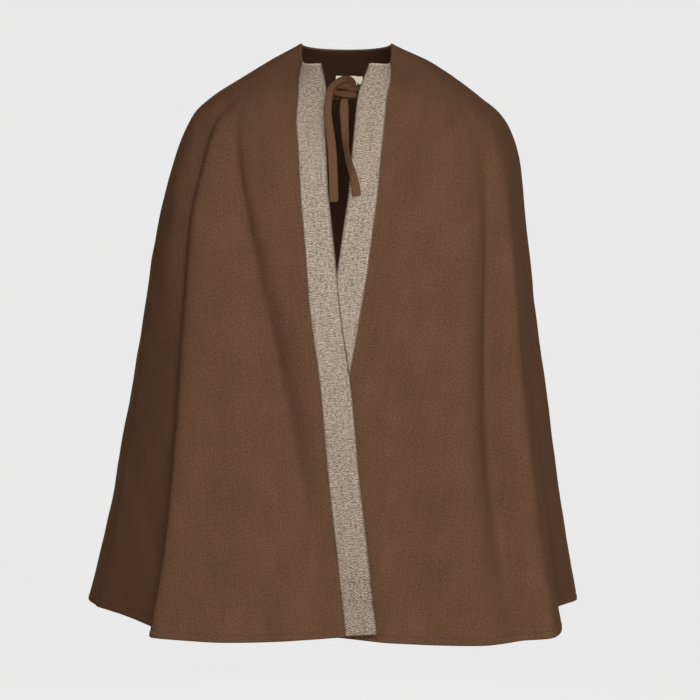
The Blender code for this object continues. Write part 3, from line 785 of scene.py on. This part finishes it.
def add_strap(name, rows, knot, finish):
    """A tie strap with a blunt free end. knot is the bunched stretch, as distances along it."""
    path = route(rows)
    turns = np.linspace(0, 2 * math.pi, TIE_SIDES, endpoint=False)
    rings = []
    for i, place in enumerate(path.places):
        bunched = hump((place - sum(knot) / 2) / (knot[1] - knot[0]))
        end = path.places[-1] - place
        full = 1 - 0.35 * bell(end, 0.0009) - 0.16 * bell(end - TIE_END_STITCH, 0.0007)
        wide = path.width[i] * (1 - 0.24 * bell(end, 0.0012))
        sides, faces = strap_section(turns, wide, path.thick[i] * full, place, bunched)
        across, out = path.frames[i]
        rings.append(path.line[i] + np.outer(sides, across) + np.outer(faces, out))
    rings = np.array([shrunk(rings[0])] + rings + [shrunk(rings[-1])])
    lengths = np.concatenate([[0], path.places, path.places[-1:]])
    cloth = np.stack(np.meshgrid(np.cos(turns) * TIE_HALF, lengths), axis=-1).reshape(-1, 2)
    return make_mesh(name, rings.reshape(-1, 3), tube_quads(len(rings), TIE_SIDES), cloth, finish)


def stitch_line(points, normals, pitch):
    """Stitches along a line on the cloth: each one a short bent bead of thread."""
    steps = np.linalg.norm(np.diff(points, axis=0), axis=1)
    walked = np.concatenate([[0], np.cumsum(steps)])
    count = max(int(walked[-1] / pitch), 1)
    middles = (np.arange(count) + 0.5) * walked[-1] / count
    at = middles[:, None] + BEAD_ALONG * pitch * STITCH_SHARE / 2
    place = np.stack([np.interp(at, walked, points[:, k]) for k in range(3)], axis=-1)
    up = unit(np.stack([np.interp(at, walked, normals[:, k]) for k in range(3)], axis=-1))
    ahead = unit(np.gradient(place, axis=1))
    aside = unit(np.cross(ahead, up))
    turns = np.linspace(0, 2 * math.pi, BEAD_SIDES, endpoint=False)
    round_it = (np.cos(turns)[:, None] * aside[:, :, None]
                + np.sin(turns)[:, None] * up[:, :, None]) * (THREAD / 2 * BEAD_THICK)[:, None, None]
    return place[:, :, None] + up[:, :, None] * (BEAD_HIGH * THREAD)[:, None, None] + round_it


def add_stitches(name, lines, finish):
    """Lines of stitches joined in one piece."""
    beads = np.concatenate(lines)
    count, rings, sides = beads.shape[:3]
    quads = tube_quads(rings, sides)[:, [0, 3, 2, 1]]
    faces = (np.arange(count)[:, None, None] * rings * sides + quads).reshape(-1, 4)
    points = beads.reshape(-1, 3)
    places = np.stack([np.arange(len(points)) * BEAD_PLACE, np.zeros(len(points))], axis=1)
    return make_mesh(name, points, faces, places, finish)


def panel_stitches(grid):
    """The lines of stitches at a panel's neck edge and hem. On a front, they start past its band."""
    outer, _ = panel_faces(grid)
    lines = []
    for distance, clear in ((NECK_STITCH, NECK_STITCH_CLEAR), (LENGTH - HEM_STITCH, 0)):
        row = int(np.argmin(np.abs(grid.along[:, 0] - distance)))
        past_band = int(np.searchsorted(grid.across[row], BAND_WIDTH + clear))
        first = past_band if grid.panel.side else 0
        lines.append(stitch_line(outer[row, first:], grid.normals[row, first:], STITCH_PITCH))
    return lines


def band_stitches(grid):
    """The lines of stitches round a band, on its outer face."""
    upper, _ = band_faces(grid)
    last = int(np.argmin(np.abs(LENGTH - BAND_END_STITCH - grid.along[:, 0])))
    sides = [int(np.argmin(np.abs(grid.across[0] - distance)))
             for distance in (BAND_STITCH, BAND_WIDTH - BAND_STITCH)]
    stretches = [(slice(2, last), column) for column in sides] + [(last, slice(3, -3))]
    return [stitch_line(upper[stretch], grid.normals[stretch], BAND_THREAD_PITCH)
            for stretch in stretches]


def strap_stitches(rows):
    """The lines of stitches across a strap's free end, on both faces."""
    path = route(rows)
    i = int(np.argmin(np.abs(path.places - (path.places[-1] - TIE_END_STITCH))))
    across, out = path.frames[i]
    wide = np.linspace(-TIE_SEWN, TIE_SEWN, 12)[:, None] * path.width[i]
    lines = []
    for face in (-out, out):
        points = path.line[i] + wide * across + face * path.thick[i] * TIE_SEWN
        lines.append(stitch_line(points, np.repeat(face[None], 12, axis=0), TIE_THREAD_PITCH))
    return lines


# The colours, and the sizes of the trim's herringbone.
WOOL = (0.130, 0.0700, 0.0415)
TIE_WOOL = (0.134, 0.0730, 0.0430)
TRIM_LIGHT = (0.750, 0.640, 0.535, 1.0)
TRIM_DARK = (0.110, 0.074, 0.050, 1.0)
TRIM_NEP = (0.10, 0.062, 0.040, 1.0)
LABEL_WHITE = (0.98, 0.90, 0.76)
BROWN_THREAD = (0.105, 0.056, 0.032)
TRIM_THREAD = (0.150, 0.098, 0.064)
# The next three darken the cloth's inner face and, a little less, its turned edges: painted shade for the
# shadow inside the cape.
REVERSE_PAINTED_SHADE = (0.27, 0.245, 0.235, 1.0)
PAINTED_SHADE_FROM = 0.0030
TURNED_PAINTED_SHADE = (0.31, 0.28, 0.27, 1.0)
# Painted shade for the shadow in the knots.
KNOT_PAINTED_SHADE = (0.76, 0.72, 0.70, 1.0)
HERRINGBONE_HALF = 0.0047
RIB_PITCH = 0.00385
RIB_SLOPE = 1.1
RIB_WANDER = 0.0090
DOT_PITCH = 0.0038


class Finish:
    """A material's nodes, made one after another."""

    def __init__(self, name, roughness, **sockets):
        self.material = bpy.data.materials.new(name)
        self.material.use_nodes = True
        self.tree = self.material.node_tree
        self.shader = self.tree.nodes["Principled BSDF"]
        self.shader.inputs["Roughness"].default_value = roughness
        for key, value in sockets.items():
            self.shader.inputs[key.replace("_", " ")].default_value = value
        self.cloth = self.node("ShaderNodeUVMap", uv_map="cloth").outputs["UV"]

    def node(self, kind, inputs=None, **settings):
        """A node with its settings, and its inputs as values or as other nodes' outputs."""
        made = self.tree.nodes.new(kind)
        for key, value in settings.items():
            setattr(made, key, value)
        for key, value in (inputs or {}).items():
            if isinstance(value, bpy.types.NodeSocket):
                self.tree.links.new(value, made.inputs[key])
            else:
                made.inputs[key].default_value = value
        return made

    def places(self):
        """The place across the cloth, and the place down it."""
        parts = self.node("ShaderNodeSeparateXYZ", {"Vector": self.cloth}).outputs
        return parts["X"], parts["Y"]

    def noise(self, across, down, detail=2.0, rough=0.5, turn=0.0):
        """Soft noise, with so many features to a metre across the cloth and down it."""
        mapped = {"Vector": self.cloth, "Scale": (across, down, 1.0),
                  "Rotation": (0.0, 0.0, math.radians(turn))}
        place = self.node("ShaderNodeMapping", mapped).outputs["Vector"]
        inputs = {"Vector": place, "Scale": 1.0, "Detail": detail, "Roughness": rough}
        return self.node("ShaderNodeTexNoise", inputs).outputs["Fac"]

    def math(self, operation, first, second=0.0, third=0.0):
        """A sum, product or the like of two or three values."""
        inputs = {0: first, 1: second, 2: third}
        return self.node("ShaderNodeMath", inputs, operation=operation).outputs[0]

    def spread(self, value, low, high, to_low=0.0, to_high=1.0):
        """A value spread from one range to another, and held inside it."""
        inputs = {"Value": value, "From Min": low, "From Max": high,
                  "To Min": to_low, "To Max": to_high}
        return self.node("ShaderNodeMapRange", inputs).outputs["Result"]

    def mix(self, factor, first, second, blend="MIX"):
        """Two colours mixed."""
        inputs = {0: factor, 6: first, 7: second}
        return self.node("ShaderNodeMix", inputs, data_type="RGBA", blend_type=blend).outputs[2]

    def times(self, first, second):
        """Two colours multiplied."""
        return self.mix(1.0, first, second, blend="MULTIPLY")

    def finish(self, color, height, distance, strength):
        """Gives the shader its colour and its relief."""
        self.tree.links.new(color, self.shader.inputs["Base Color"])
        bump = self.node("ShaderNodeBump", {"Height": height, "Distance": distance, "Strength": strength})
        self.tree.links.new(bump.outputs["Normal"], self.shader.inputs["Normal"])
        return self.material


def shaded(color, factor):
    """A colour times a factor, with its alpha."""
    return tuple(channel * factor for channel in color[:3]) + (1.0,)


def gray(level):
    """A gray, with its alpha."""
    return level, level, level, 1.0


def wool(name, color, fine=1.0, reverse_painted_shade=None, knot=None):
    """Brushed wool coating: a mottled ground of short fibres over faint streaks.

    Given a colour for the inner face, it darkens that face with painted shade, the turned edges less.
    Given where a strap's knot ends, it darkens the knot and the strap's edges with painted shade.
    """
    made = Finish(name, roughness=0.92, Specular_IOR_Level=0.02, Sheen_Weight=0.06,
                  Sheen_Roughness=0.35, Sheen_Tint=(1.0, 0.62, 0.38, 1.0))
    flecks = made.noise(430 * fine, 430 * fine, detail=3.0, rough=0.62)
    down_fibres = made.noise(1500 * fine, 260 * fine, turn=14)
    over_fibres = made.noise(300 * fine, 1400 * fine, turn=-9)
    clouds = made.noise(26, 17, detail=3.0)
    streaks = made.noise(330, 11)
    ground = made.mix(made.spread(flecks, 0.30, 0.70), shaded(color, 0.65), shaded(color, 1.35))
    fibres = made.math("MULTIPLY_ADD", made.math("MAXIMUM", down_fibres, over_fibres), 1.0, -0.5)
    lit = made.mix(made.spread(fibres, 0.02, 0.26, 0.0, 0.55), ground, shaded(color, 1.7))
    cloudy = made.mix(made.spread(clouds, 0.3, 0.7), gray(0.93), (1.06, 1.05, 1.04, 1.0))
    streaked = made.mix(made.spread(streaks, 0.3, 0.7), gray(0.95), gray(1.05))
    shade = made.times(made.times(lit, cloudy), streaked)
    # Painted shade on the inner face, a little less on its turned edges.
    if reverse_painted_shade:
        down = made.places()[1]
        turned = LENGTH - HEM_STITCH
        past_neck = made.spread(down, NECK_STITCH + TURNED_PAST, NECK_STITCH + PAINTED_SHADE_FROM)
        past_hem = made.spread(down, turned - PAINTED_SHADE_FROM, turned - TURNED_PAST, 1.0, 0.0)
        inside = made.math("MULTIPLY", past_neck, past_hem)
        shade = made.times(shade, made.mix(inside, TURNED_PAINTED_SHADE, reverse_painted_shade))
    if knot:
        over, down = made.places()
        # Painted shade along the strap's edges, all its length.
        rim = made.spread(made.math("ABSOLUTE", over), 0.0034, 0.0060)
        darkening = made.mix(rim, gray(1.06), gray(0.70))
        # Painted shade in the knot's stretch of the strap.
        seam_press_and_knot_shade = made.mix(made.spread(down, knot, knot + 0.025), KNOT_PAINTED_SHADE, gray(1.0))
        shade = made.times(shade, made.times(darkening, seam_press_and_knot_shade))
    relief = made.math("MULTIPLY_ADD", flecks, 0.9, fibres)
    return made.finish(shade, relief, distance=0.00042, strength=0.55)


def trim(name, light, dark):
    """Herringbone twill tape: slanting ribs that turn back and forth, with uneven yarns."""
    made = Finish(name, roughness=0.86, Specular_IOR_Level=0.18, Sheen_Weight=0.10,
                  Sheen_Roughness=0.5, Sheen_Tint=(1.0, 0.95, 0.9, 1.0))
    over, down = made.places()
    wander = made.noise(290, 9, detail=1.0)
    slope = made.math("MULTIPLY", made.math("PINGPONG", over, HERRINGBONE_HALF), RIB_SLOPE)
    rib_place = made.math("MULTIPLY_ADD", wander, RIB_WANDER, made.math("ADD", down, slope))
    rib = made.math("SINE", made.math("MULTIPLY", rib_place, 2 * math.pi / RIB_PITCH))
    streaks = made.noise(300, 13, rough=0.6)
    slubs = made.noise(310, 340, detail=1.0, rough=0.6)
    weave = made.math("MULTIPLY", rib, made.spread(streaks, 0.35, 0.65, 0.5, 1.5))
    yarns = made.math("MULTIPLY_ADD", streaks, 0.8, made.math("MULTIPLY", slubs, 3.0))
    tone = made.math("MULTIPLY_ADD", weave, 0.46, yarns)
    ground = made.mix(made.spread(tone, 0.90, 2.92), dark, light)
    neps = made.noise(290, 290, detail=0.0)
    nepped = made.mix(made.spread(neps, 0.735, 0.79, 0.0, 0.75), ground, TRIM_NEP)
    # A dotted dark line along the band's edges: the selvage's dots, with painted shade for the shadow
    # where the band meets the wool.
    rim = made.math("MINIMUM", over, made.math("SUBTRACT", BAND_WIDTH, over))
    dots = made.math("SINE", made.math("MULTIPLY", down, 2 * math.pi / DOT_PITCH))
    outline = made.math("MULTIPLY", made.spread(rim, 0.0001, 0.0014, 1.0, 0.0),
                        made.spread(dots, -0.6, 0.6, 1.0, 0.3))
    edged = made.mix(outline, nepped, shaded(dark, 0.75))
    frayed = made.math("MULTIPLY", made.spread(down, 0.0016, 0.0034, 1.0, 0.0),
                       made.spread(slubs, 0.35, 0.55))
    topped = made.mix(frayed, edged, shaded(light, 1.10))
    clouds = made.spread(made.noise(60, 60, detail=3.0), 0.3, 0.7)
    aged = made.mix(clouds, (0.90, 0.89, 0.88, 1.0), gray(1.07))
    # Darker towards the band's top, and towards its bottom.
    darkening = made.mix(made.spread(down, 0.06, 0.16, 1.0, 0.0), aged, (0.88, 0.87, 0.86, 1.0))
    darker_below = made.mix(made.spread(down, 0.42, LENGTH - 0.01), darkening, (0.77, 0.755, 0.74, 1.0))
    relief = made.math("MULTIPLY_ADD", weave, 0.4, slubs)
    return made.finish(made.times(topped, darker_below), relief, distance=0.00050, strength=0.6)


def satin(name, color):
    """The blank woven labels: fine satin with faint clouds."""
    made = Finish(name, roughness=0.62, Specular_IOR_Level=0.35, Sheen_Weight=0.08)
    threads = made.noise(300, 2600, detail=1.0)
    soft = made.noise(240, 240)
    shade = made.mix(made.spread(threads, 0.3, 0.7), shaded(color, 0.88), shaded(color, 1.04))
    worn = made.mix(made.spread(soft, 0.35, 0.75, 0.0, 0.35), shade, shaded(color, 0.82))
    return made.finish(worn, threads, distance=0.0001, strength=0.6)


def thread(name, color):
    """Sewing thread, finely mottled."""
    made = Finish(name, roughness=0.6, Specular_IOR_Level=0.3, Sheen_Weight=0.1)
    strands = made.noise(900, 900, detail=1.0)
    shade = made.mix(made.spread(strands, 0.3, 0.7), shaded(color, 0.75), shaded(color, 1.2))
    return made.finish(shade, strands, distance=0.0001, strength=0.5)


def assign(piece, node=None):
    """Attaches a piece to the cape's root, and hides the solid that it stands for, if any."""
    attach(piece, "root")
    if node:
        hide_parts(node)


def build():
    """Makes every piece, and hides the solids that they stand for."""
    brown = wool("wool", WOOL)
    # The inner faces' wool, darkened with painted shade.
    painted_shade_inside = wool("wool_inside_painted_shade", WOOL, reverse_painted_shade=REVERSE_PAINTED_SHADE)
    strap_brown = wool("tie_wool", TIE_WOOL, fine=1.3, knot=KNOT_PAINTED_SHADE_END)
    beige = trim("trim", TRIM_LIGHT, TRIM_DARK)
    white = satin("label_white", LABEL_WHITE)
    brown_thread = thread("brown_thread", BROWN_THREAD)
    trim_thread = thread("trim_thread", TRIM_THREAD)
    for name, panel in (("right", RIGHT), ("left", LEFT)):
        grid = make_grid(panel, row_places(FRONT_ROW), front_columns)
        assign(add_panel("cape_front_" + name, grid, brown, painted_shade_inside), "front_" + name)
        assign(add_stitches("stitches_front_" + name, panel_stitches(grid), brown_thread))
        grid = band_grid(panel)
        assign(add_band("trim_" + name, grid, beige), "band_" + name)
        assign(add_stitches("stitches_trim_" + name, band_stitches(grid), trim_thread))
    grid = make_grid(BACK, row_places(BACK_ROW), back_columns)
    assign(add_panel("cape_back", grid, brown, painted_shade_inside), "back")
    assign(add_stitches("stitches_back", panel_stitches(grid), brown_thread))
    for name, rows, knot in (("right", TIE_RIGHT, KNOT_RIGHT), ("left", TIE_LEFT, KNOT_LEFT)):
        assign(add_strap("strap_" + name, rows, knot, strap_brown), "tie_" + name)
        assign(add_stitches("stitches_strap_" + name, strap_stitches(rows), brown_thread))
    assign(add_patch("blank_label", LABEL, white), "neck_label")
    assign(add_patch("blank_size_tab", SIZE_TAB, white), "size_tab")


CAMERA_AT = (0.0028, -3.0, -0.406)
LENS = 110.2
SENSOR = 36.0
FAR = 60.0

DAYLIGHT = (1.0, 0.985, 0.965)
MIDDLE = (0.0, 0.0, -0.42)

# The soft lights: where each is, what it faces, its width and height, its power and its colour.
LIGHTS = (
    ("front_box", (0.30, -3.9, 0.35), MIDDLE, (1.7, 2.0), 102, DAYLIGHT),
    ("right_box", (2.3, -3.2, 0.1), MIDDLE, (2.3, 2.3), 32, DAYLIGHT),
    ("left_box", (-2.2, -3.3, 0.1), MIDDLE, (2.3, 2.3), 6, DAYLIGHT),
    ("back_box", (-0.5, 3.8, 0.5), MIDDLE, (2.6, 2.6), 90, DAYLIGHT),
    ("inside_box", (0.0, -0.04, -0.50), (0.0, 0.12, -0.10), (0.2, 0.2), 0.8, (1.0, 0.93, 0.86)),
)
ROOM_COLOR = (1.0, 0.74, 0.54, 1.0)
ROOM_STRENGTH = 0.13

# The floor is flat out to a radius, bends up round a curve and ends in a wall.
FLOOR_Z = -1.48
FLOOR_FLAT = 5.0
FLOOR_BEND = 1.6
FLOOR_SIDES = 96
WALL_HEIGHT = 6.5
FLOOR_DARK = gray(0.02)
FLOOR_PALE = gray(0.8228)
FLOOR_GLOW = 0.992


def add_camera():
    """The camera, in front of the cape and level with its middle."""
    data = bpy.data.cameras.new("camera")
    data.lens = LENS
    data.sensor_width = SENSOR
    data.clip_end = FAR
    camera = add_object("camera", data)
    camera.location = CAMERA_AT
    camera.rotation_euler = (math.radians(90), 0.0, 0.0)
    bpy.context.scene.camera = camera


def add_light(name, place_at, aim, size, power, color):
    """A soft light that faces a point."""
    data = bpy.data.lights.new(name, "AREA")
    data.shape = "RECTANGLE"
    data.size, data.size_y = size
    data.energy = power
    data.color = color
    light = add_object(name, data)
    light.location = place_at
    x, y, z = np.array(aim) - np.array(place_at)
    light.rotation_euler = (math.atan2(math.hypot(x, y), -z), 0.0, math.atan2(y, x) - math.pi / 2)
    light.visible_camera = False


def add_floor():
    """A pale floor that curves up into a wall. It glows, and neither lights nor shades the cape."""
    bend = np.linspace(0.15, math.pi / 2, 9)
    radii = np.concatenate([[0.001, FLOOR_FLAT / 2, FLOOR_FLAT], FLOOR_FLAT + FLOOR_BEND * np.sin(bend),
                            [FLOOR_FLAT + FLOOR_BEND]])
    heights = np.concatenate([[0, 0, 0], FLOOR_BEND * (1 - np.cos(bend)), [WALL_HEIGHT]]) + FLOOR_Z
    turns = np.linspace(0, 2 * math.pi, FLOOR_SIDES, endpoint=False)
    points = np.stack([np.outer(radii, np.cos(turns)), np.outer(radii, np.sin(turns)),
                       np.outer(heights, np.ones(FLOOR_SIDES))], axis=-1).reshape(-1, 3)
    pale = bpy.data.materials.new("pale_floor")
    pale.use_nodes = True
    shader = pale.node_tree.nodes["Principled BSDF"]
    for key, value in (("Base Color", FLOOR_DARK), ("Roughness", 1.0), ("Specular IOR Level", 0.0),
                       ("Emission Color", FLOOR_PALE), ("Emission Strength", FLOOR_GLOW)):
        shader.inputs[key].default_value = value
    floor = make_mesh("studio_floor", points, tube_quads(len(radii), FLOOR_SIDES), points[:, :2], pale)
    floor.visible_diffuse = False
    floor.visible_glossy = False
    floor.visible_shadow = False


def add_room():
    """The dim room round the studio, and how its light is shown."""
    world = bpy.data.worlds.new("room")
    world.use_nodes = True
    sky = world.node_tree.nodes["Background"]
    sky.inputs["Color"].default_value = ROOM_COLOR
    sky.inputs["Strength"].default_value = ROOM_STRENGTH
    bpy.context.scene.world = world
    bpy.context.scene.view_settings.view_transform = "Standard"


build()
add_camera()
add_floor()
for row in LIGHTS:
    add_light(*row)
add_room()
